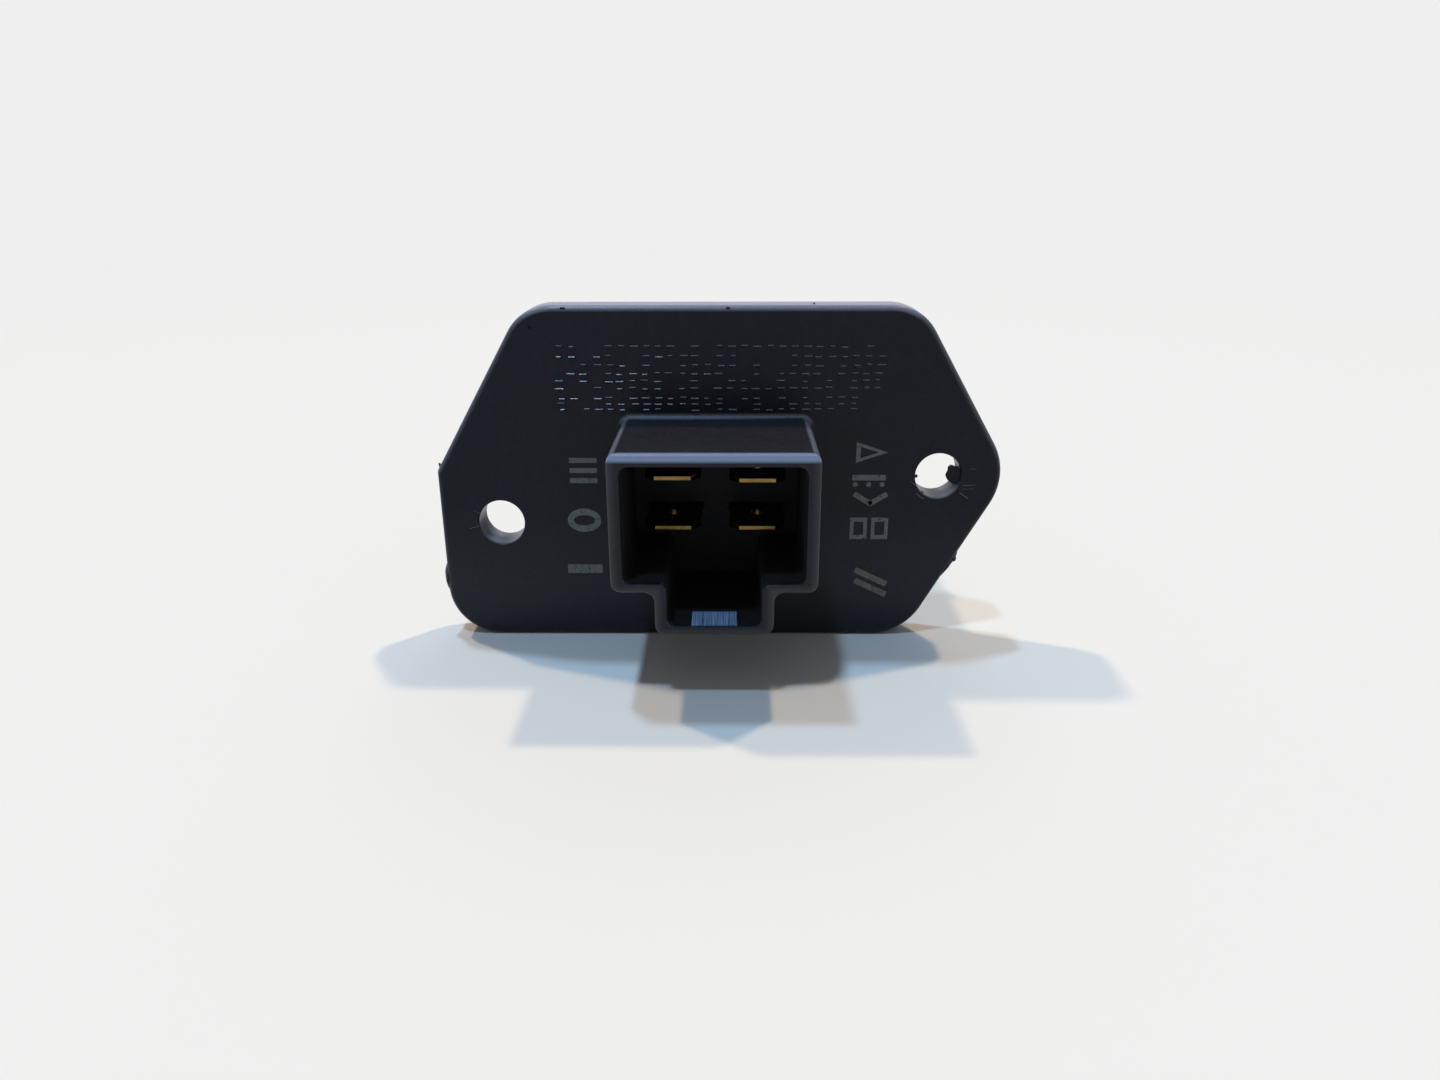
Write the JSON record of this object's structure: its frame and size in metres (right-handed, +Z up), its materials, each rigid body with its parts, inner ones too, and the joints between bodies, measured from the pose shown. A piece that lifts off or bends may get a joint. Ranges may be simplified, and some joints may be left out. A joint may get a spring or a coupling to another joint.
{
  "type": "blower motor resistor",
  "caption": "Blower motor resistor: black moulded mounting plate with a T-shaped connector socket in front and resistor coils with a thermal fuse behind.",
  "frame": {"origin": "middle of the plate's lower edge, halfway through the plate's thickness", "axes": "+X along the plate to the right seen from the connector side, +Y from the connector to the coils, +Z up"},
  "size_m": [0.0679, 0.0533, 0.0408],
  "materials": {
    "black_moulding": "dark blue-black thermoset moulding, satin and fine-grained, worn glossier at its rims",
    "terminal_brass": "stamped brass, slightly tarnished",
    "rivet_brass": "headed brass",
    "plated_steel": "plated strip steel, faintly yellowed by heat",
    "nichrome": "heat-darkened resistance wire",
    "fuse_can": "drawn can, satin",
    "fuse_epoxy": "cast epoxy",
    "tinned_copper": "tinned copper wire",
    "phenolic_card": "paper phenolic sheet, sawn edges"
  },
  "bodies": {
    "root": {"mounting_plate": "black_moulding", "blade_upper_left": "terminal_brass", "blade_upper_right": "terminal_brass", "blade_lower_left": "terminal_brass", "blade_lower_right": "terminal_brass", "leg_upper_right": "plated_steel", "leg_lower_left": "plated_steel", "leg_lower_right": "plated_steel", "fuse_foot": "plated_steel", "fuse_post": "plated_steel", "rivet_upper_left": "rivet_brass", "rivet_upper_right": "rivet_brass", "rivet_lower_left": "rivet_brass", "rivet_lower_right": "rivet_brass", "coil_upper": "nichrome", "coil_lower": "nichrome", "coil_side": "nichrome", "fuse_case": "fuse_can", "fuse_seal": "fuse_epoxy", "fuse_lead_front": "tinned_copper", "fuse_lead_back": "tinned_copper", "support_card": "phenolic_card"}
  },
  "joints": []
}
